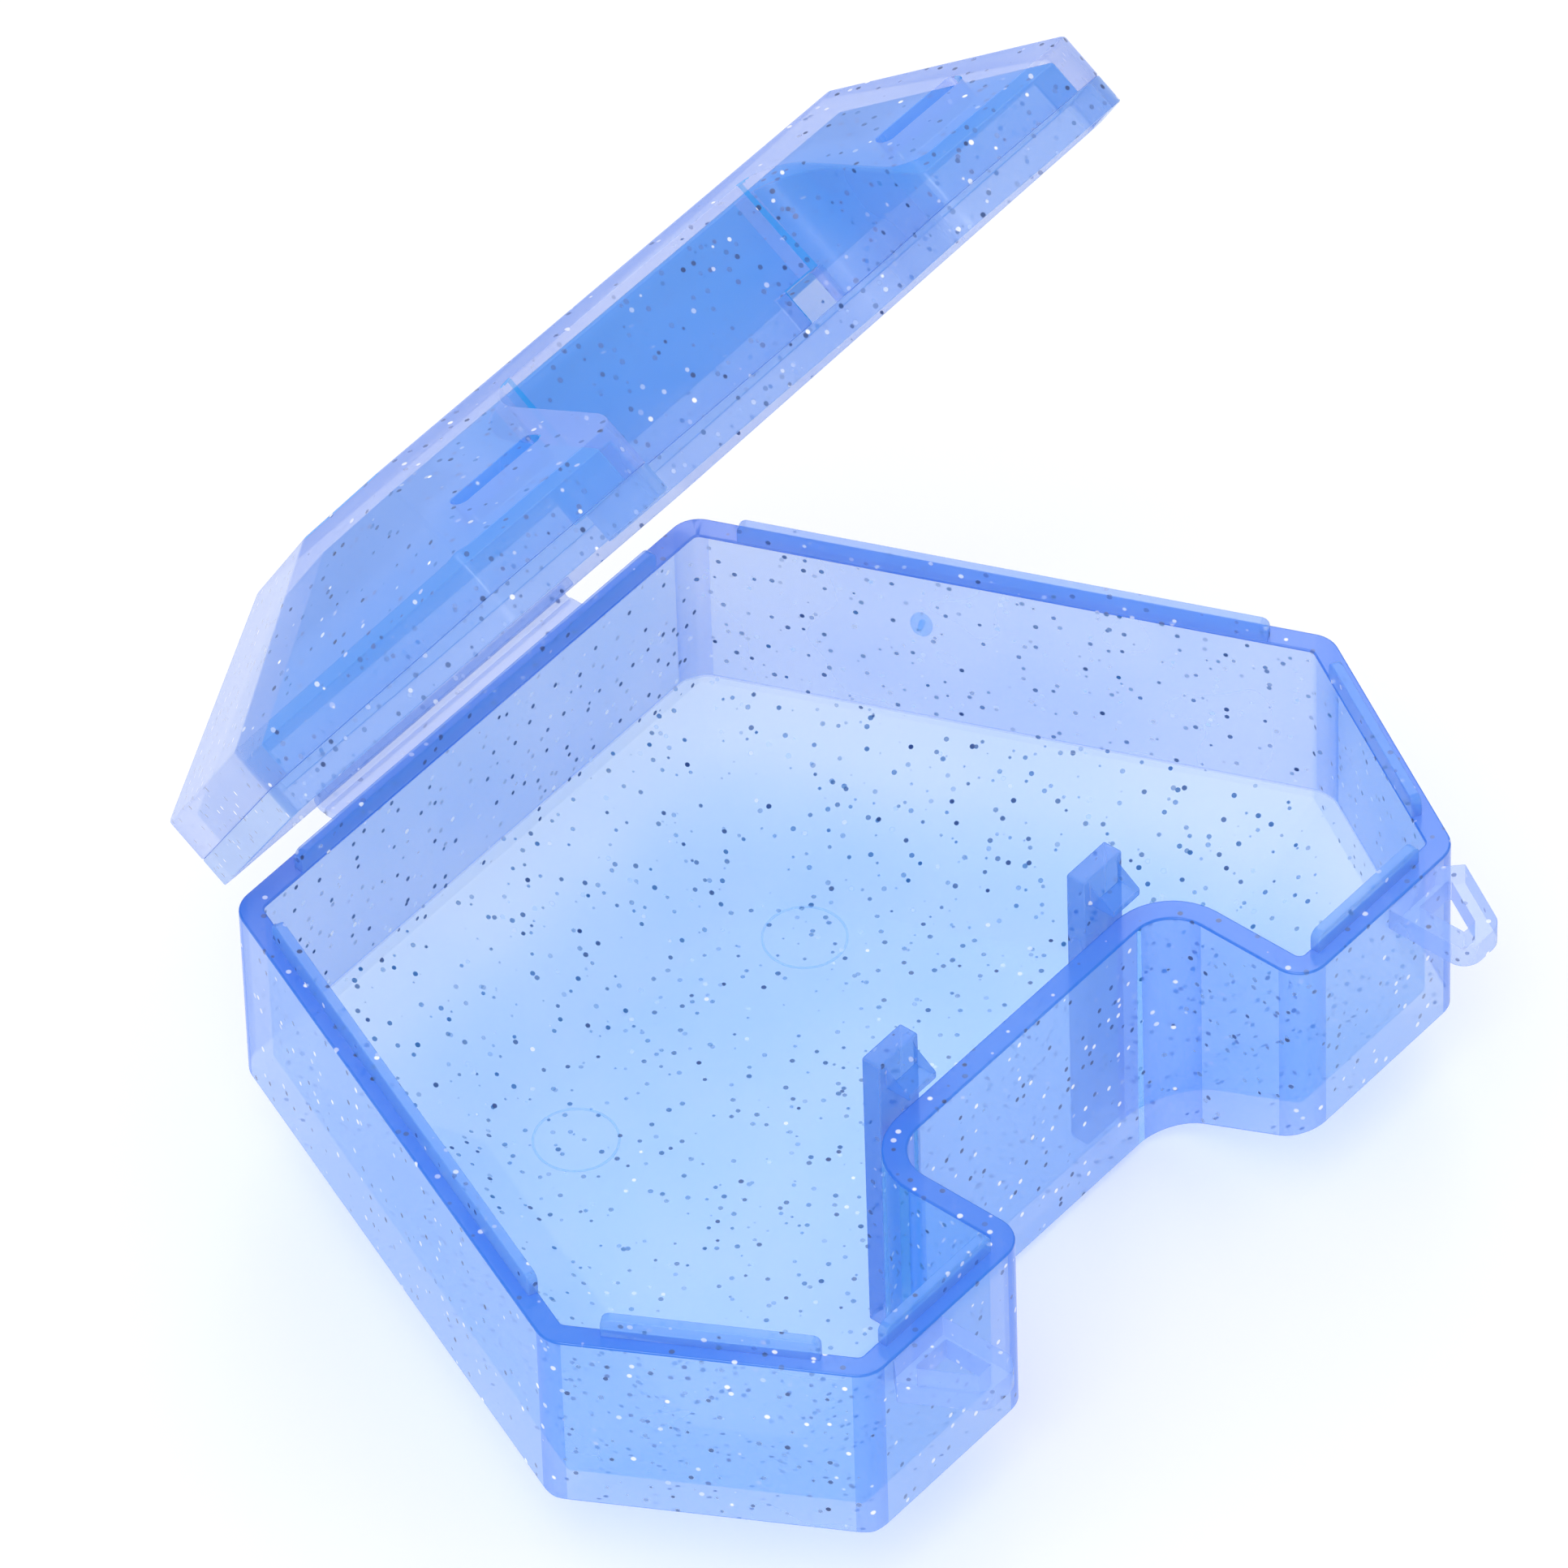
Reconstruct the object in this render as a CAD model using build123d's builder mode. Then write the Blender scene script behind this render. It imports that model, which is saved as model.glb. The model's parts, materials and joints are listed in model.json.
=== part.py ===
"""Hinged retainer case with a notched front, moulded in translucent plastic.

Millimetres, +Z up. The origin is the middle of the flat bottom the case stands on.
The hinge runs along X at the rear (+Y) and the thumb notch is at the front (-Y).
The lid is drawn at the angle it has in the open case.
"""
import math
import os

from build123d import *

# Plan of the case
case_width = 82.0
case_depth = 60.0
rear_width = 47.0
front_width = 61.0
widest_from_rear = 41.4
notch_width = 28.8
notch_depth = 11.7
corner_radius = 2.2
notch_corner_radius = 3.0

# Tray
wall = 1.7
tray_wall_height = 14.8
tray_bevel_drop = 6.2
floor_thickness = 1.6
bevel_inset = 13.3

# Lid
lid_wall_height = 5.5
lid_bevel_rise = 7.5
roof_thickness = 1.5
skirt_height = 2.2
skirt_thickness = 0.7
lid_gap = 0.3
open_angle = 56.4

# Locating lips on the rim
lip_height = 1.6
lip_thickness = 0.75
lip_top_radius = 0.6
rear_lip_gap = 5.2
side_lip_gap = 4.0
chamfer_lip_gap = 3.5
front_lip_gap = 2.7

# Living hinge
hinge_length = 25.4
leaf_length = 1.2
leaf_thickness = 0.7
film_thickness = 0.4
film_radius = 0.6
film_lead = 0.1

# Latch hooks
hook_spacing = 21.2
hook_width = 4.0
hook_thickness = 1.5
hook_wall_gap = 0.4
hook_root_height = 2.2
hook_root_gap = 0.1
hook_height_over_rim = 5.2
hook_shoulder_drop = 0.6
barb_width = 2.8
barb_underside = 2.8
barb_tip_height = 0.6
barb_recess = 0.1

# Latch windows in the lid
window_clearance = 0.3
window_height = 2.6

# Vent slots in the lid
vent_length = 8.0
vent_width = 1.2
vent_from_front = 4.75

# Lanyard loops
loop_reach = 6.6
loop_root_width = 7.2
loop_tip_width = 3.5
loop_band = 1.45
loop_thickness = 1.8
loop_below_rim = 0.2
loop_corner_radius = 1.4

# Places that follow from the sizes
rim_z = tray_wall_height + tray_bevel_drop
rear_y = case_depth / 2
front_y = -case_depth / 2
widest_y = rear_y - widest_from_rear
notch_y = front_y + notch_depth
notch_inner_y = notch_y + wall
hinge_y = rear_y + leaf_length + film_lead
hinge_z = rim_z + lid_gap / 2
leaf_mid_drop = film_radius - lid_gap / 2
hook_x = hook_spacing / 2
hook_front_y = notch_inner_y + hook_wall_gap
hook_mid_y = hook_front_y + hook_thickness / 2
hook_pivot_z = floor_thickness + hook_root_height + hook_root_gap + hook_thickness / 2
hook_top_z = rim_z + hook_height_over_rim
open_sin = math.sin(math.radians(open_angle))
open_cos = math.cos(math.radians(open_angle))

# Corners of the plan, right half, from the hinge forwards
rear_corner = (rear_width / 2, rear_y)
wide_corner = (case_width / 2, widest_y)
front_corner = (front_width / 2, front_y)
notch_mouth = (notch_width / 2, front_y)
notch_corner = (notch_width / 2, notch_y)
vent_x = (notch_mouth[0] + front_corner[0]) / 2 - vent_from_front / 4


def opened(y, z):
    """Where a point of the closed lid lies once the lid is turned open."""
    dy = y - hinge_y
    dz = z - hinge_z
    return hinge_y + open_cos * dy + open_sin * dz, hinge_z - open_sin * dy + open_cos * dz


def tray_level(depth):
    """The level plane this far below the tray's rim."""
    return Plane.XY.offset(rim_z - depth)


def lid_level(height):
    """The plane this far above the lid's rim, turned open with the lid."""
    y, z = opened(0, rim_z + lid_gap + height)
    return Plane(origin=(0, y, z), x_dir=(1, 0, 0), z_dir=(0, open_sin, open_cos))


def mirrored_outline(right_half):
    """A closed outline from its right half, from the rear forwards."""
    return right_half + [(-x, y) for x, y in reversed(right_half)]


def case_plan(inset):
    """The plan of the case with its notch, moved in from the outside."""
    with BuildSketch() as plan:
        with BuildLine():
            Polyline(
                *mirrored_outline([rear_corner, wide_corner, front_corner, notch_mouth, notch_corner]),
                close=True,
            )
        make_face()
        fillet([v for v in plan.vertices() if abs(v.Y - notch_y) > 0.01], corner_radius)
        fillet([v for v in plan.vertices() if abs(v.Y - notch_y) < 0.01], notch_corner_radius)
        if inset > 0:
            offset(amount=-inset, kind=Kind.INTERSECTION)
    return plan.sketch


def hull_plan(inset):
    """The six-sided plan without its notch, with sharp corners, moved in from the outside."""
    with BuildSketch() as plan:
        with BuildLine():
            Polyline(*mirrored_outline([rear_corner, wide_corner, front_corner]), close=True)
        make_face()
        if inset > 0:
            offset(amount=-inset, kind=Kind.INTERSECTION)
    return plan.sketch


def bevelled_hull(level, mouth, straight, rise, inset, flat_inset):
    """A six-sided body: a straight band from its mouth, then bevels up to a flat."""
    with BuildPart() as hull:
        with BuildSketch(level(-mouth)):
            add(hull_plan(inset))
        with BuildSketch(level(straight)):
            add(hull_plan(inset))
        loft(ruled=True)
        with BuildSketch(level(straight)):
            add(hull_plan(inset))
        with BuildSketch(level(straight + rise)):
            add(hull_plan(flat_inset))
        loft(ruled=True)
    return hull.part


def shell_body(level, straight, rise, thickness, inset, mouth):
    """The solid inside the case's skin, thinned from the outside by wall and skin."""
    slope = rise / bevel_inset
    skin = thickness * math.sqrt(1 + slope * slope)
    with BuildPart() as body:
        if inset > 0:
            straight_in = straight + slope * inset - skin
            rise_in = straight + rise - thickness - straight_in
            flat_in = (rise - thickness + skin) / slope
            add(bevelled_hull(level, mouth, straight_in, rise_in, inset, flat_in))
        else:
            add(bevelled_hull(level, mouth, straight, rise, 0, bevel_inset))
        with BuildSketch(level(straight + rise)):
            add(case_plan(inset))
        with BuildSketch(level(-mouth)):
            add(case_plan(inset))
        loft(ruled=True, mode=Mode.INTERSECT)
    return body.part


os.makedirs("parts", exist_ok=True)

# Tray: floor, bevels and walls
with BuildPart() as base_tray:
    add(shell_body(tray_level, tray_wall_height, tray_bevel_drop, floor_thickness, 0, 0))
    add(
        shell_body(tray_level, tray_wall_height, tray_bevel_drop, floor_thickness, wall, 1),
        mode=Mode.SUBTRACT,
    )
base_tray.part.label = "base_tray"
export_step(base_tray.part, "parts/base_tray.step")


def rim_lip(start, end, gap):
    """A thin lip on the inner half of the rim, along one straight side."""
    along = Vector(end[0] - start[0], end[1] - start[1], 0)
    inward = along.normalized().rotate(Axis.Z, -90)
    middle = Vector((start[0] + end[0]) / 2, (start[1] + end[1]) / 2, rim_z)
    origin = middle + inward * (wall - lip_thickness / 2)
    with BuildPart() as lip:
        with BuildSketch(Plane(origin=origin, x_dir=along.normalized(), z_dir=(0, 0, 1))):
            Rectangle(along.length - 2 * gap, lip_thickness)
        extrude(amount=lip_height)
        ends = [e for e in lip.edges().group_by(Axis.Z)[-1] if abs(e.length - lip_thickness) < 0.01]
        fillet(ends, lip_top_radius)
    return lip.part


# Lips, each side taken clockwise seen from above so that inward is to its right
rear_left = (-rear_corner[0], rear_corner[1])
wide_left = (-wide_corner[0], wide_corner[1])
front_left = (-front_corner[0], front_corner[1])
mouth_left = (-notch_mouth[0], notch_mouth[1])
lip_sides = {
    "rear_lip": (rear_left, rear_corner, rear_lip_gap),
    "right_side_lip": (rear_corner, wide_corner, side_lip_gap),
    "right_chamfer_lip": (wide_corner, front_corner, chamfer_lip_gap),
    "right_front_lip": (front_corner, notch_mouth, front_lip_gap),
    "left_front_lip": (mouth_left, front_left, front_lip_gap),
    "left_chamfer_lip": (front_left, wide_left, chamfer_lip_gap),
    "left_side_lip": (wide_left, rear_left, side_lip_gap),
}
for lip_name, (start, end, gap) in lip_sides.items():
    lip_part = rim_lip(start, end, gap)
    lip_part.label = lip_name
    export_step(lip_part, f"parts/{lip_name}.step")


def lanyard_loop(side):
    """A flat ring standing out of the front wall, in line with the chamfered side."""
    run = (wide_corner[0] - front_corner[0]) / (widest_y - front_y)
    tip_y = front_y - loop_reach
    tip_x = front_corner[0] - run * loop_reach
    with BuildPart() as loop:
        with BuildSketch(tray_level(loop_below_rim + loop_thickness)) as ring:
            with BuildLine():
                Polyline(
                    (side * (front_corner[0] - loop_root_width), front_y),
                    (side * (tip_x - loop_tip_width), tip_y),
                    (side * tip_x, tip_y),
                    (side * (front_corner[0] - run * loop_corner_radius), front_y - loop_corner_radius),
                    (side * (front_corner[0] - corner_radius), front_y),
                    close=True,
                )
            make_face()
            fillet(ring.vertices().group_by(Axis.Y)[0], loop_corner_radius)
            offset(amount=-loop_band, kind=Kind.INTERSECTION, mode=Mode.SUBTRACT)
        extrude(amount=loop_thickness)
    return loop.part


for side_name, side in (("left", -1), ("right", 1)):
    loop_part = lanyard_loop(side)
    loop_part.label = f"{side_name}_lanyard_loop"
    export_step(loop_part, f"parts/{side_name}_lanyard_loop.step")

# Hinge leaf on the tray's rear wall, its middle film_radius below the hinge line
with BuildPart() as tray_hinge_leaf:
    with BuildSketch(tray_level(leaf_mid_drop + leaf_thickness / 2)):
        with Locations((0, rear_y + leaf_length / 2)):
            Rectangle(hinge_length, leaf_length)
    extrude(amount=leaf_thickness)
tray_hinge_leaf.part.label = "tray_hinge_leaf"
export_step(tray_hinge_leaf.part, "parts/tray_hinge_leaf.step")

# Hinge leaf on the lid's rear skirt
with BuildPart() as lid_hinge_leaf:
    with BuildSketch(lid_level(leaf_mid_drop - leaf_thickness / 2)):
        with Locations((0, rear_y + leaf_length / 2)):
            Rectangle(hinge_length, leaf_length)
    extrude(amount=leaf_thickness)
lid_hinge_leaf.part.label = "lid_hinge_leaf"
export_step(lid_hinge_leaf.part, "parts/lid_hinge_leaf.step")

# Thin film that bends round the hinge line between the two leaves
leaf_end_y = rear_y + leaf_length
film_mid_angle = math.radians((180 - open_angle) / 2 - 90)


def film_middle(radius):
    """The point half way round the film's bend."""
    return hinge_y + radius * math.cos(film_mid_angle), hinge_z + radius * math.sin(film_mid_angle)


with BuildPart() as living_hinge:
    outer = film_radius + film_thickness / 2
    inner = film_radius - film_thickness / 2
    with BuildSketch(Plane.YZ):
        with BuildLine():
            Line((leaf_end_y, hinge_z - outer), (hinge_y, hinge_z - outer))
            ThreePointArc((hinge_y, hinge_z - outer), film_middle(outer), opened(hinge_y, hinge_z + outer))
            Line(opened(hinge_y, hinge_z + outer), opened(leaf_end_y, hinge_z + outer))
            Line(opened(leaf_end_y, hinge_z + outer), opened(leaf_end_y, hinge_z + inner))
            Line(opened(leaf_end_y, hinge_z + inner), opened(hinge_y, hinge_z + inner))
            ThreePointArc(opened(hinge_y, hinge_z + inner), film_middle(inner), (hinge_y, hinge_z - inner))
            Line((hinge_y, hinge_z - inner), (leaf_end_y, hinge_z - inner))
            Line((leaf_end_y, hinge_z - inner), (leaf_end_y, hinge_z - outer))
        make_face()
    extrude(amount=hinge_length / 2, both=True)
living_hinge.part.label = "living_hinge"
export_step(living_hinge.part, "parts/living_hinge.step")


def latch_hook(x):
    """An upright finger inside the notch wall, with a barb that reaches over the rim."""
    barb_under_z = rim_z + barb_underside
    barb_tip_y = notch_y + barb_recess
    shoulder_z = hook_top_z - hook_shoulder_drop
    with BuildPart() as hook:
        with BuildSketch(Plane.YZ.offset(x)):
            with Locations((hook_mid_y, (hook_pivot_z + hook_top_z) / 2)):
                Rectangle(hook_thickness, hook_top_z - hook_pivot_z)
            with Locations((hook_mid_y, hook_pivot_z)):
                Circle(hook_thickness / 2)
        extrude(amount=hook_width / 2, both=True)
        with BuildSketch(Plane.YZ.offset(x)):
            with BuildLine():
                Polyline(
                    (hook_mid_y, barb_under_z),
                    (barb_tip_y, barb_under_z),
                    (barb_tip_y, barb_under_z + barb_tip_height),
                    (notch_inner_y, shoulder_z),
                    (hook_front_y, hook_top_z),
                    (hook_mid_y, hook_top_z),
                    close=True,
                )
            make_face()
        extrude(amount=barb_width / 2, both=True)
    return hook.part


def hook_foot(x):
    """The fixed root that the finger grows from."""
    with BuildPart() as foot:
        with BuildSketch(Plane.XY.offset(floor_thickness)):
            with Locations((x, hook_mid_y)):
                Rectangle(hook_width, hook_thickness)
        extrude(amount=hook_root_height)
    return foot.part


for side_name, side in (("left", -1), ("right", 1)):
    hook_part = latch_hook(side * hook_x)
    hook_part.label = f"{side_name}_latch_hook"
    export_step(hook_part, f"parts/{side_name}_latch_hook.step")
    foot_part = hook_foot(side * hook_x)
    foot_part.label = f"{side_name}_hook_foot"
    export_step(foot_part, f"parts/{side_name}_hook_foot.step")

# Lid shell: roof, bevels and walls above the thin skirt, with vents and latch windows
with BuildPart() as lid_shell:
    add(shell_body(lid_level, lid_wall_height, lid_bevel_rise, roof_thickness, 0, 0))
    add(
        shell_body(lid_level, lid_wall_height, lid_bevel_rise, roof_thickness, wall, 1),
        mode=Mode.SUBTRACT,
    )
    with BuildSketch(lid_level(0)):
        add(case_plan(0))
    extrude(amount=skirt_height, mode=Mode.SUBTRACT)
    with BuildSketch(lid_level(skirt_height)):
        with Locations((-hook_x, notch_y + wall / 2), (hook_x, notch_y + wall / 2)):
            Rectangle(barb_width + 2 * window_clearance, 2 * wall)
    extrude(amount=window_height, mode=Mode.SUBTRACT)
    with BuildSketch(lid_level(skirt_height)):
        with Locations((-vent_x, front_y + vent_from_front), (vent_x, front_y + vent_from_front)):
            SlotOverall(vent_length, vent_width)
    extrude(amount=lid_wall_height + lid_bevel_rise, mode=Mode.SUBTRACT)
lid_shell.part.label = "lid_shell"
export_step(lid_shell.part, "parts/lid_shell.step")

# Skirt: the thin outer band under the lid's walls, which passes outside the lips
with BuildPart() as lid_skirt:
    with BuildSketch(lid_level(0)):
        add(case_plan(0))
        add(case_plan(skirt_thickness), mode=Mode.SUBTRACT)
    extrude(amount=skirt_height)
lid_skirt.part.label = "lid_skirt"
export_step(lid_skirt.part, "parts/lid_skirt.step")

# Sizes worth reading after a change
print("height of the closed case", round(rim_z + lid_gap + lid_wall_height + lid_bevel_rise, 2))
print("gap between lip and skirt", round(wall - lip_thickness - skirt_thickness, 2))
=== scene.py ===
"""Looks of the hinged retainer case: clear blue plastic with glitter in it, on a pale sheet."""

import json
import math

import bmesh
import bpy
from mathutils import Matrix, Vector


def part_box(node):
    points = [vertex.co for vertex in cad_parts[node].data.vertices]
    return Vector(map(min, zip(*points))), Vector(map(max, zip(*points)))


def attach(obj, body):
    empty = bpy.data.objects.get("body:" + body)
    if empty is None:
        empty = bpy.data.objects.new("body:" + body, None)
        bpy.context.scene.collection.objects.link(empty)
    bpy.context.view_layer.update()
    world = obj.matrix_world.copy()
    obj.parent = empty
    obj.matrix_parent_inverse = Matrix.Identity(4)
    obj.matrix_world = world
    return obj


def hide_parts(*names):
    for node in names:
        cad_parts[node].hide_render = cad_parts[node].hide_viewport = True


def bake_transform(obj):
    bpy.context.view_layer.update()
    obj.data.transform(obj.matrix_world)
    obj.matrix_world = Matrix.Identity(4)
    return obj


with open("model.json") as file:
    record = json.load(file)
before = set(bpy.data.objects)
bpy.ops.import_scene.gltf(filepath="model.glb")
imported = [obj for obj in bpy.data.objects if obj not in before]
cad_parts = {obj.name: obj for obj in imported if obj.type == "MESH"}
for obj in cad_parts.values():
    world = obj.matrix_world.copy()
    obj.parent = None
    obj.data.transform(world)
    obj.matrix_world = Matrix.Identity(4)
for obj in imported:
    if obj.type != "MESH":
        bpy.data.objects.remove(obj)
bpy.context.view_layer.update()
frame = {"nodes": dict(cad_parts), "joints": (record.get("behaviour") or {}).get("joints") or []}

MM = 0.001

# Places read from the frame
joints = {joint["name"]: joint for joint in frame["joints"]}
hinge_place = Vector(joints["lid_hinge"]["pos_m"])
open_turn = math.radians(joints["lid_hinge"]["range_deg"][1])
lid_up = Vector((0, math.sin(open_turn), math.cos(open_turn)))
lid_front = Vector((0, -math.cos(open_turn), math.sin(open_turn)))
rim_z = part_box("base_tray")[1].z
floor_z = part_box("left_hook_foot")[0].z

# Middles of the cavity: behind the notch, and in the legs either side of it
CAVITY_MIDDLES = [
    Vector((0, -5 * MM, 0)),
    Vector((22 * MM, -20 * MM, 0)),
    Vector((-22 * MM, -20 * MM, 0)),
]

# Middle of the vent slot on the right of the closed lid, and half its reach with its rounding
VENT_PLACE = Vector((21.3 * MM, -25.25 * MM))
VENT_REACH = Vector((4.4 * MM, 0.85 * MM))

# Merging a CAD node's loose triangles, and clearing slivers after rounding
MERGE_DISTANCE = 0.004 * MM
SLIVER_LENGTH = 0.002 * MM
FLAT_TURN = math.radians(1)

# Rounding that the mould leaves
BREAK_RADIUS = 0.4 * MM
EDGE_RADIUS = 0.2 * MM
LOOP_RADIUS = 0.35 * MM
LIP_RADIUS = 0.12 * MM
RIM_BAND = 1.2 * EDGE_RADIUS
SMOOTH_TURN = math.radians(40)

# Turns of an edge, in degrees: a gentle break between two slopes, and anything sharper
BREAK_TURN = 14
SHARP_TURN = 50
FULL_TURN = 180

# Faces smaller than this are corners, slot sides and rounding, not walls or slopes
SMALL_AREA = 20 * MM * MM

# Share of a face's normal that points up or down
WALL_SHARE = 0.6
SLOPE_SHARE = 0.5
TRAY_FLAT_SHARE = 0.85
LID_FLAT_SHARE = 0.95

# Catches and hinge strap: spacing and number of the rows that let a catch curve, the strap's film and the
# steps of its bend
CATCH_ROW = 0.7 * MM
CATCH_ROWS = 7
STRAP_FILM = 0.4 * MM
STRAP_STEPS = 20

# Marks in the mould
EJECTOR_RADIUS = 2.8 * MM
EJECTOR_PLACE = Vector((12 * MM, 10.9 * MM, 0))
EJECTOR_LINE = 0.16 * MM
EJECTOR_HEIGHT = 0.05 * MM
GATE_PLACE = Vector((28.48 * MM, 13.85 * MM, 16.5 * MM))
GATE_NORMAL = Vector((-0.9211, -0.3893, 0))

# The photograph's view: a long lens from the front left, above
VIEW_AZIMUTH = math.radians(-49.29)
VIEW_ELEVATION = math.radians(44.89)
VIEW_ROLL = math.radians(-1.91)
VIEW_AIM = Vector((7.69 * MM, 8.58 * MM, 21.0 * MM))
VIEW_DISTANCE = 1144.0 * MM
LENS = 396.6
SENSOR = 36.0


def linear(hex_colour):
    """An sRGB hex colour as the linear colour that a shader takes."""
    channels = [int(hex_colour[i:i + 2], 16) / 255 for i in (1, 3, 5)]
    return tuple(c / 12.92 if c <= 0.04045 else ((c + 0.055) / 1.055) ** 2.4 for c in channels) + (1.0,)


def add_node(tree, kind, inputs=None, **settings):
    """Adds one node, sets its settings and its inputs, linking those that are sockets."""
    node = tree.nodes.new(kind)
    for name, value in settings.items():
        setattr(node, name, value)
    for name, value in (inputs or {}).items():
        socket = node.inputs[name]
        if isinstance(value, bpy.types.NodeSocket):
            tree.links.new(value, socket)
        else:
            socket.default_value = value
    return node


def clear_plastic(name, body, cover, painted_glint_share=0.1, slant_gain=2.0):
    """Injection-moulded clear polypropylene with a blue dye and fine glitter.

    Each skin covers part of what is behind it, so two walls look deeper than one. Flakes lie in
    the skin: most are dark against the light behind them, and a share of them are painted white
    as painted highlights, glints that stand in for light the flakes catch.
    """
    material = bpy.data.materials.new(name)
    material.use_nodes = True
    tree = material.node_tree
    tree.nodes.clear()
    coords = add_node(tree, "ShaderNodeTexCoord").outputs["Object"]

    # Flow of the melt: slow change of density, about 9 mm across
    flow = add_node(tree, "ShaderNodeTexNoise", {"Vector": coords, "Scale": 110.0, "Detail": 1.0})
    even = add_node(
        tree, "ShaderNodeMapRange",
        {"Value": flow.outputs["Fac"], "From Min": 0.3, "From Max": 0.7,
         "To Min": cover * 0.94, "To Max": cover * 1.06},
        interpolation_type="SMOOTHSTEP",
    )

    # Seen at a slant, a skin hides more of what is behind it, as glass does
    slant = add_node(tree, "ShaderNodeLayerWeight", {"Blend": 0.5}).outputs["Facing"]
    steep = add_node(tree, "ShaderNodeMath", {0: slant, 1: 2.0}, operation="POWER").outputs["Value"]
    gain = add_node(
        tree, "ShaderNodeMapRange", {"Value": steep, "To Min": 1.0, "To Max": 1.0 + slant_gain}
    )
    density = add_node(
        tree, "ShaderNodeMath", {0: even.outputs["Result"], 1: gain.outputs["Result"]},
        operation="MULTIPLY", use_clamp=True,
    )

    # Glitter: flakes about 0.3 mm across, one to every 4 mm2 of a skin or so
    flakes = add_node(
        tree, "ShaderNodeTexVoronoi", {"Vector": coords, "Scale": 880.0, "Randomness": 1.0}
    )
    flake = add_node(
        tree, "ShaderNodeMapRange",
        {"Value": flakes.outputs["Distance"], "From Min": 0.14, "From Max": 0.2,
         "To Min": 1.0, "To Max": 0.0},
    ).outputs["Result"]
    # Painted highlight: the flakes picked by the share below are painted white, standing in for glints of
    # light that they catch
    kind = add_node(tree, "ShaderNodeSeparateColor", {"Color": flakes.outputs["Color"]})
    painted_glints = add_node(
        tree, "ShaderNodeMath", {0: kind.outputs["Red"], 1: painted_glint_share}, operation="LESS_THAN"
    ).outputs["Value"]
    strength = add_node(
        tree, "ShaderNodeMapRange", {"Value": kind.outputs["Green"], "To Min": 0.45, "To Max": 1.0}
    ).outputs["Result"]
    shows = add_node(
        tree, "ShaderNodeMath", {0: flake, 1: strength}, operation="MULTIPLY"
    ).outputs["Value"]
    flake_and_painted_glint_colour = add_node(
        tree, "ShaderNodeMix", {"Factor": painted_glints, "A": linear("#31487C"), "B": linear("#FFFFFF")},
        data_type="RGBA",
    )
    colour = add_node(tree, "ShaderNodeMix", {"Factor": shows, "A": linear(body)}, data_type="RGBA")
    tree.links.new(flake_and_painted_glint_colour.outputs["Result"], colour.inputs["B"])

    # Shadows are lighter than the skin looks, because the plastic scatters light onwards
    rays = add_node(tree, "ShaderNodeLightPath")
    alpha = add_node(
        tree, "ShaderNodeMath", {0: density.outputs["Value"], 1: shows}, operation="MAXIMUM"
    )
    shade = add_node(
        tree, "ShaderNodeMapRange", {"Value": rays.outputs["Is Shadow Ray"], "To Min": 1.0, "To Max": 0.2}
    )
    lets = add_node(
        tree, "ShaderNodeMath", {0: alpha.outputs["Value"], 1: shade.outputs["Result"]}, operation="MULTIPLY"
    )

    # Tool finish: faint ripples about 0.5 mm apart
    grain = add_node(tree, "ShaderNodeTexNoise", {"Vector": coords, "Scale": 1900.0, "Detail": 0.0})
    bump = add_node(
        tree, "ShaderNodeBump",
        {"Height": grain.outputs["Fac"], "Strength": 0.05, "Distance": 0.05 * MM},
    )
    plastic = add_node(
        tree, "ShaderNodeBsdfPrincipled",
        {"Base Color": colour.outputs["Result"], "Roughness": 0.22, "IOR": 1.49,
         "Alpha": lets.outputs["Value"], "Normal": bump.outputs["Normal"]},
    )
    out = add_node(tree, "ShaderNodeOutputMaterial")
    tree.links.new(plastic.outputs["BSDF"], out.inputs["Surface"])
    return material


# Inside of the tray, moulded against a polished core: barely tinted, so flakes show clearly
inner_plastic = clear_plastic("clear_polypropylene_inner_skin", "#2CB6FF", 0.18)

# Outside of the tray: paler and more lavender, partly painted reflection of the white surroundings on the
# outer walls, with more flakes painted white as glints
outer_painted_reflection_plastic = clear_plastic("clear_polypropylene_outer_skin", "#88B0FB", 0.34, painted_glint_share=0.4)

# Rounded corners and slot sides, seen through more plastic: deeper blue bands
edge_plastic = clear_plastic("clear_polypropylene_corner", "#5A90F8", 0.42, painted_glint_share=0.4)

# Top of the wall, which gathers light along the whole wall: the darkest line of the case
rim_plastic = clear_plastic(
    "clear_polypropylene_rim", "#2474E2", 0.88, painted_glint_share=0.4, slant_gain=0.0,
)

# Thin ribs on the rim: a little lighter than the rim
lip_plastic = clear_plastic(
    "clear_polypropylene_lip", "#68A6F6", 0.45, painted_glint_share=0.4, slant_gain=0.5,
)

# Inside of the lid: the deepest blue, and deeper still on the roof; partly the many skins seen at a slant,
# partly painted shade, as the inside of the open lid is turned from the light
lid_inner_painted_shade_plastic = clear_plastic("clear_polypropylene_lid_inside", "#2698EA", 0.53)
roof_painted_shade_plastic = clear_plastic("clear_polypropylene_roof_inside", "#2698EA", 0.6)

# Outside of the lid: pale, and almost white at its border; the pale tint is partly painted reflection of the
# white surroundings, with some flakes painted white as glints
lid_outer_painted_reflection_plastic = clear_plastic(
    "clear_polypropylene_lid_outside", "#90AEF6", 0.3, painted_glint_share=0.3,
)

# Catches, seen through their whole width: solid blue with few flakes painted white as glints
hook_plastic = clear_plastic(
    "clear_polypropylene_hook", "#3C86EA", 0.42, painted_glint_share=0.2, slant_gain=1.0,
)

# Thin band round the lid: pale, a shade deeper than the lid's outside
skirt_plastic = clear_plastic("clear_polypropylene_skirt", "#80ACF1", 0.36, painted_glint_share=0.4)

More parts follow.
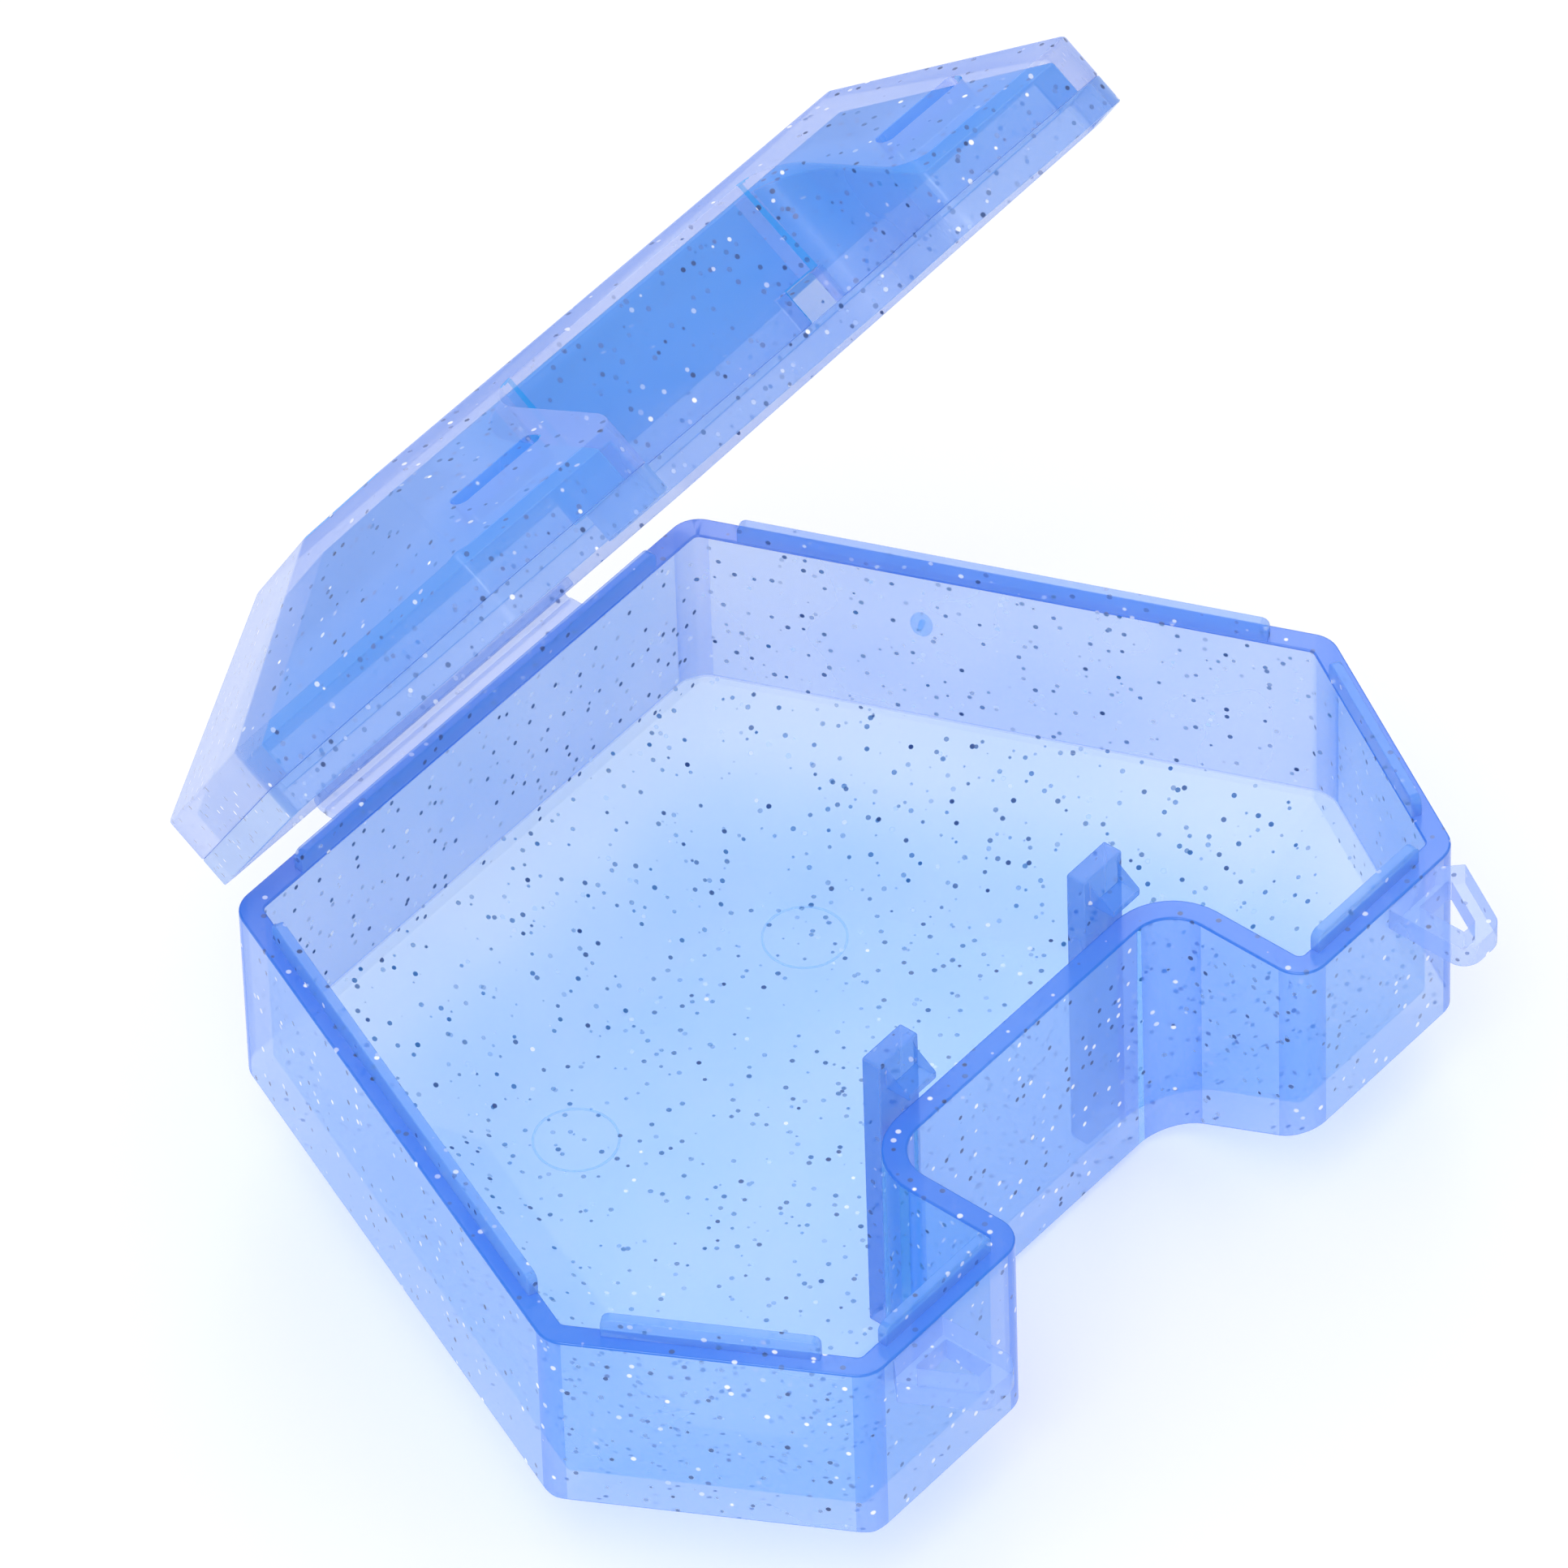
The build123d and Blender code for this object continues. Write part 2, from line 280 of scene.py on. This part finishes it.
# Slim rings in the light: pale and clear
loop_plastic = clear_plastic("clear_polypropylene_loop", "#8AB0FA", 0.3, painted_glint_share=0.4)

# Hinge strap, whitened by bending as thin polypropylene is
strap_plastic = clear_plastic(
    "flexed_polypropylene_strap", "#C4D8FF", 0.42, painted_glint_share=0.4, slant_gain=0.0,
)

TRAY_FINISHES = (inner_plastic, outer_painted_reflection_plastic, edge_plastic, rim_plastic)
LID_FINISHES = (
    lid_inner_painted_shade_plastic, lid_outer_painted_reflection_plastic, edge_plastic, rim_plastic, roof_painted_shade_plastic,
)
INNER, OUTER, EDGE, RIM, ROOF = range(5)


def add_piece(name, shape, body, finishes, nodes=()):
    """Turns a finished bmesh into a piece that rides on a body."""
    data = bpy.data.meshes.new(name)
    shape.to_mesh(data)
    shape.free()
    piece = bpy.data.objects.new(name, data)
    bpy.context.collection.objects.link(piece)
    for finish in finishes:
        data.materials.append(finish)
    for polygon in data.polygons:
        polygon.use_smooth = True
    data.set_sharp_from_angle(angle=SMOOTH_TURN)
    piece.modifiers.new("flat_faces_stay_flat", "WEIGHTED_NORMAL").keep_sharp = True
    if body:
        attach(piece, body)
    if nodes:
        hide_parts(*nodes)
    return piece


def merged_copy(node):
    """A CAD node's mesh with its triangles joined into whole faces."""
    shape = bmesh.new()
    shape.from_mesh(frame["nodes"][node].data)
    for loop_layer in list(shape.loops.layers.uv):
        shape.loops.layers.uv.remove(loop_layer)
    bmesh.ops.remove_doubles(shape, verts=shape.verts, dist=MERGE_DISTANCE)
    bmesh.ops.dissolve_limit(
        shape, angle_limit=FLAT_TURN, verts=shape.verts, edges=shape.edges
    )
    return shape


def round_edges(shape, edges, radius, segments, keep_width=False):
    """Rounds the chosen edges, at the full width where the shape is known to have room for it."""
    bmesh.ops.bevel(
        shape, geom=edges, offset=radius, offset_type="WIDTH", affect="EDGES",
        segments=segments, profile=0.5, material=-1, clamp_overlap=not keep_width,
    )


def sharp_edges(shape, low, high):
    """Edges whose two faces turn by an angle between the limits, in degrees."""
    found = []
    for edge in shape.edges:
        if len(edge.link_faces) == 2:
            turn = math.degrees(edge.calc_face_angle(0))
            if low <= turn < high:
                found.append(edge)
    return found


def shell_copy(node, up):
    """A shell with its outward breaks and its sharp edges rounded."""
    shape = merged_copy(node)
    breaks = [
        edge for edge in sharp_edges(shape, BREAK_TURN, SHARP_TURN)
        if edge.calc_face_angle_signed(0) > 0
        and any(
            abs(face.normal.dot(up)) > SLOPE_SHARE and face.calc_area() > SMALL_AREA
            for face in edge.link_faces
        )
    ]
    round_edges(shape, breaks, BREAK_RADIUS, 3, keep_width=True)
    sharp = sharp_edges(shape, SHARP_TURN, FULL_TURN)
    round_edges(shape, sharp, EDGE_RADIUS, 2, keep_width=True)
    bmesh.ops.remove_doubles(shape, verts=shape.verts, dist=MERGE_DISTANCE)
    bmesh.ops.dissolve_degenerate(shape, edges=shape.edges, dist=SLIVER_LENGTH)
    return shape


def shell_finish(face, up, to_plan, rim_height, flat):
    """Which finish a shell's face takes: rim, corner, inside or outside."""
    middle = to_plan(face.calc_center_median())
    across = face.normal.dot(up)
    if abs(middle.z - rim_height) < RIM_BAND:
        return RIM
    nearest = min(CAVITY_MIDDLES, key=lambda place: (middle.xy - place.xy).length)
    normal = to_plan(face.calc_center_median() + face.normal * MM) - middle
    if abs(across) > flat or normal.xy.dot(middle.xy - nearest.xy) < 0:
        return INNER
    return EDGE if abs(across) < WALL_SHARE and face.calc_area() < SMALL_AREA else OUTER


def from_lid(place):
    """A place on the open lid, as it lies when the lid is closed."""
    offset = place - hinge_place
    return Vector((offset.x, -offset.dot(lid_front), offset.dot(lid_up))) + hinge_place


tray_up = Vector((0, 0, 1))
tray_shape = shell_copy("base_tray", tray_up)
for face in tray_shape.faces:
    face.material_index = shell_finish(face, tray_up, Vector.copy, rim_z, TRAY_FLAT_SHARE)
add_piece("tray_shell", tray_shape, "tray", TRAY_FINISHES, ["base_tray"])

lid_shape = shell_copy("lid_shell", lid_up)
for face in lid_shape.faces:
    finish = shell_finish(face, lid_up, from_lid, hinge_place.z, LID_FLAT_SHARE)
    across = face.normal.dot(lid_up)
    if finish == INNER and abs(across) > LID_FLAT_SHARE:
        finish = OUTER if across > 0 else ROOF
    place = from_lid(face.calc_center_median())
    in_vent_x = abs(abs(place.x) - VENT_PLACE.x) < VENT_REACH.x
    in_vent_y = abs(place.y - VENT_PLACE.y) < VENT_REACH.y
    if finish == EDGE and not (in_vent_x and in_vent_y):
        finish = OUTER
    face.material_index = finish
add_piece("lid_cover", lid_shape, "lid", LID_FINISHES, ["lid_shell"])


def soft_copy(name, node, body, finish, radius):
    """A small moulded feature with its edges rounded."""
    shape = merged_copy(node)
    round_edges(shape, sharp_edges(shape, SHARP_TURN, FULL_TURN), radius, 2)
    add_piece(name, shape, body, [finish], [node])


for side in ("left", "right"):
    soft_copy(
        f"{side}_loop", f"{side}_lanyard_loop", "tray", loop_plastic, LOOP_RADIUS
    )
    for place in ("side", "chamfer", "front"):
        soft_copy(
            f"{side}_{place}_locating_lip", f"{side}_{place}_lip", "tray",
            lip_plastic, LIP_RADIUS,
        )
soft_copy("rear_locating_lip", "rear_lip", "tray", lip_plastic, LIP_RADIUS)
soft_copy("lid_skirt_band", "lid_skirt", "lid", skirt_plastic, LIP_RADIUS)
for body in ("tray", "lid"):
    soft_copy(f"{body}_leaf", f"{body}_hinge_leaf", body, strap_plastic, LIP_RADIUS)


def catch_finger(side):
    """A catch in one piece with its foot, so that it bends just above the tray's floor."""
    pivot = Vector(joints[f"{side}_catch_flex"]["pos_m"])
    shape = merged_copy(f"{side}_latch_hook")
    bmesh.ops.bisect_plane(
        shape, geom=shape.verts[:] + shape.edges[:] + shape.faces[:], dist=1e-7,
        plane_co=pivot, plane_no=(0, 0, 1), clear_inner=True,
    )
    cut = [edge for edge in shape.edges if edge.is_boundary]
    drawn = bmesh.ops.extrude_edge_only(shape, edges=cut)["geom"]
    ends = [item for item in drawn if isinstance(item, bmesh.types.BMVert)]
    bmesh.ops.translate(shape, verts=ends, vec=(0, 0, floor_z - pivot.z))
    bmesh.ops.holes_fill(shape, edges=[edge for edge in shape.edges if edge.is_boundary])
    bmesh.ops.recalc_face_normals(shape, faces=shape.faces)
    round_edges(shape, sharp_edges(shape, SHARP_TURN, FULL_TURN), EDGE_RADIUS, 2)
    for row in range(1, CATCH_ROWS + 1):
        bmesh.ops.bisect_plane(
            shape, geom=shape.verts[:] + shape.edges[:] + shape.faces[:], dist=1e-7,
            plane_co=(0, 0, floor_z + row * CATCH_ROW), plane_no=(0, 0, 1),
        )
    finger = add_piece(
        f"{side}_catch_finger", shape, None, [hook_plastic],
        [f"{side}_latch_hook", f"{side}_hook_foot"],
    )
    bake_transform(finger)


for side in ("left", "right"):
    catch_finger(side)


def hinge_strap():
    """The thin strap between the two leaves, which bends round the hinge line."""
    low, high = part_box("living_hinge")
    half = high.x
    leaf_end = low.y
    outer = hinge_place.z - low.z
    inner = outer - STRAP_FILM
    shape = bmesh.new()
    corners = [
        shape.verts.new((x, leaf_end, hinge_place.z - radius))
        for x, radius in ((-half, outer), (half, outer), (half, inner), (-half, inner))
    ]
    profile = [shape.edges.new((corners[i], corners[(i + 1) % 4])) for i in range(4)]
    lead = bmesh.ops.extrude_edge_only(shape, edges=profile)["geom"]
    ends = [item for item in lead if isinstance(item, bmesh.types.BMVert)]
    bmesh.ops.translate(shape, verts=ends, vec=(0, hinge_place.y - leaf_end, 0))
    front = [
        item for item in lead
        if isinstance(item, bmesh.types.BMEdge) and all(vert in ends for vert in item.verts)
    ]
    bmesh.ops.spin(
        shape, geom=ends + front, cent=hinge_place, axis=(1, 0, 0),
        angle=math.pi - open_turn, steps=STRAP_STEPS,
    )
    bmesh.ops.holes_fill(shape, edges=[edge for edge in shape.edges if edge.is_boundary])
    bmesh.ops.recalc_face_normals(shape, faces=shape.faces)
    strap = add_piece("hinge_strap", shape, None, [strap_plastic], ["living_hinge"])
    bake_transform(strap)


hinge_strap()


def ejector_mark(name, place):
    """The witness ring that an ejector pin leaves on the floor."""
    shape = bmesh.new()
    corners = [
        shape.verts.new((place.x + radius, place.y, floor_z + height))
        for radius, height in (
            (EJECTOR_RADIUS, 0), (EJECTOR_RADIUS + EJECTOR_LINE, 0),
            (EJECTOR_RADIUS + EJECTOR_LINE, EJECTOR_HEIGHT), (EJECTOR_RADIUS, EJECTOR_HEIGHT),
        )
    ]
    profile = [shape.edges.new((corners[i], corners[(i + 1) % 4])) for i in range(4)]
    bmesh.ops.spin(
        shape, geom=corners + profile, cent=(place.x, place.y, floor_z), axis=(0, 0, 1),
        angle=math.tau, steps=64, use_merge=True,
    )
    bmesh.ops.recalc_face_normals(shape, faces=shape.faces)
    add_piece(name, shape, "tray", [inner_plastic])


ejector_mark("right_ejector_mark", EJECTOR_PLACE)
ejector_mark("left_ejector_mark", Vector((-EJECTOR_PLACE.x, EJECTOR_PLACE.y, 0)))


def gate_mark():
    """The oval scar with a stub in it where the plastic was fed in, on the right wall."""
    across = Vector((0, 0, 1)).cross(GATE_NORMAL)
    turn = Matrix((across, Vector((0, 0, 1)), GATE_NORMAL)).transposed().to_4x4()
    shape = bmesh.new()

    # The scar, then the stub in it: radius at the wall and at the tip, height, stretch upwards
    for base, tip, height, stretch in ((0.8, 0.65, 0.08, 1.4), (0.22, 0.16, 0.3, 1.2)):
        bmesh.ops.create_cone(
            shape, cap_ends=True, segments=24,
            radius1=base * MM, radius2=tip * MM, depth=2 * height * MM,
            matrix=Matrix.Translation(GATE_PLACE) @ turn @ Matrix.Diagonal((1, stretch, 1, 1)),
        )
    add_piece("gate_mark", shape, "tray", [inner_plastic])


gate_mark()


def pale_floor():
    """A plain pale sheet just under the case."""
    shape = bmesh.new()
    bmesh.ops.create_grid(shape, x_segments=1, y_segments=1, size=4.0)
    bmesh.ops.translate(shape, verts=shape.verts, vec=(0, 0, -0.05 * MM))
    data = bpy.data.meshes.new("floor")
    shape.to_mesh(data)
    shape.free()
    floor = bpy.data.objects.new("floor", data)
    bpy.context.collection.objects.link(floor)
    material = bpy.data.materials.new("matt_white_paper")
    material.use_nodes = True
    shader = material.node_tree.nodes["Principled BSDF"]
    shader.inputs["Base Color"].default_value = linear("#FBFBFB")
    shader.inputs["Roughness"].default_value = 0.9
    data.materials.append(material)


def studio_light():
    """Soft white light from all round, with a wide soft box overhead on the left."""
    world = bpy.data.worlds.new("studio")
    bpy.context.scene.world = world
    world.use_nodes = True
    world.node_tree.nodes["Background"].inputs["Color"].default_value = (1, 1, 1, 1)
    world.node_tree.nodes["Background"].inputs["Strength"].default_value = 0.76

    # Place and width in metres, power in watts
    for place, size, power in (((-0.5, -0.2, 0.9), 0.5, 4.0), ((0.6, 0.5, 0.7), 0.4, 1.5)):
        lamp = bpy.data.lights.new("softbox", "AREA")
        lamp.shape = "DISK"
        lamp.size = size
        lamp.energy = power
        holder = bpy.data.objects.new("softbox", lamp)
        holder.location = place
        holder.rotation_euler = (-Vector(place)).to_track_quat("-Z", "Y").to_euler()
        bpy.context.collection.objects.link(holder)


def photo_camera():
    """The camera at the photograph's angle."""
    back = Vector((
        math.sin(VIEW_AZIMUTH) * math.cos(VIEW_ELEVATION),
        -math.cos(VIEW_AZIMUTH) * math.cos(VIEW_ELEVATION),
        math.sin(VIEW_ELEVATION),
    ))
    right = Vector((0, 0, 1)).cross(back).normalized()
    up = back.cross(right)
    turned_right = right * math.cos(VIEW_ROLL) + up * math.sin(VIEW_ROLL)
    turned_up = up * math.cos(VIEW_ROLL) - right * math.sin(VIEW_ROLL)
    camera = bpy.data.cameras.new("camera")
    camera.lens = LENS
    camera.sensor_width = SENSOR
    camera.clip_end = 20.0
    holder = bpy.data.objects.new("camera", camera)
    holder.matrix_world = Matrix.Translation(VIEW_AIM + back * VIEW_DISTANCE) @ Matrix(
        (turned_right, turned_up, back)
    ).transposed().to_4x4()
    bpy.context.collection.objects.link(holder)
    bpy.context.scene.camera = holder


pale_floor()
studio_light()
photo_camera()
bpy.context.scene.view_settings.view_transform = "Standard"

# Light has to pass through many thin skins of the open case
bpy.context.scene.cycles.transparent_max_bounces = 32
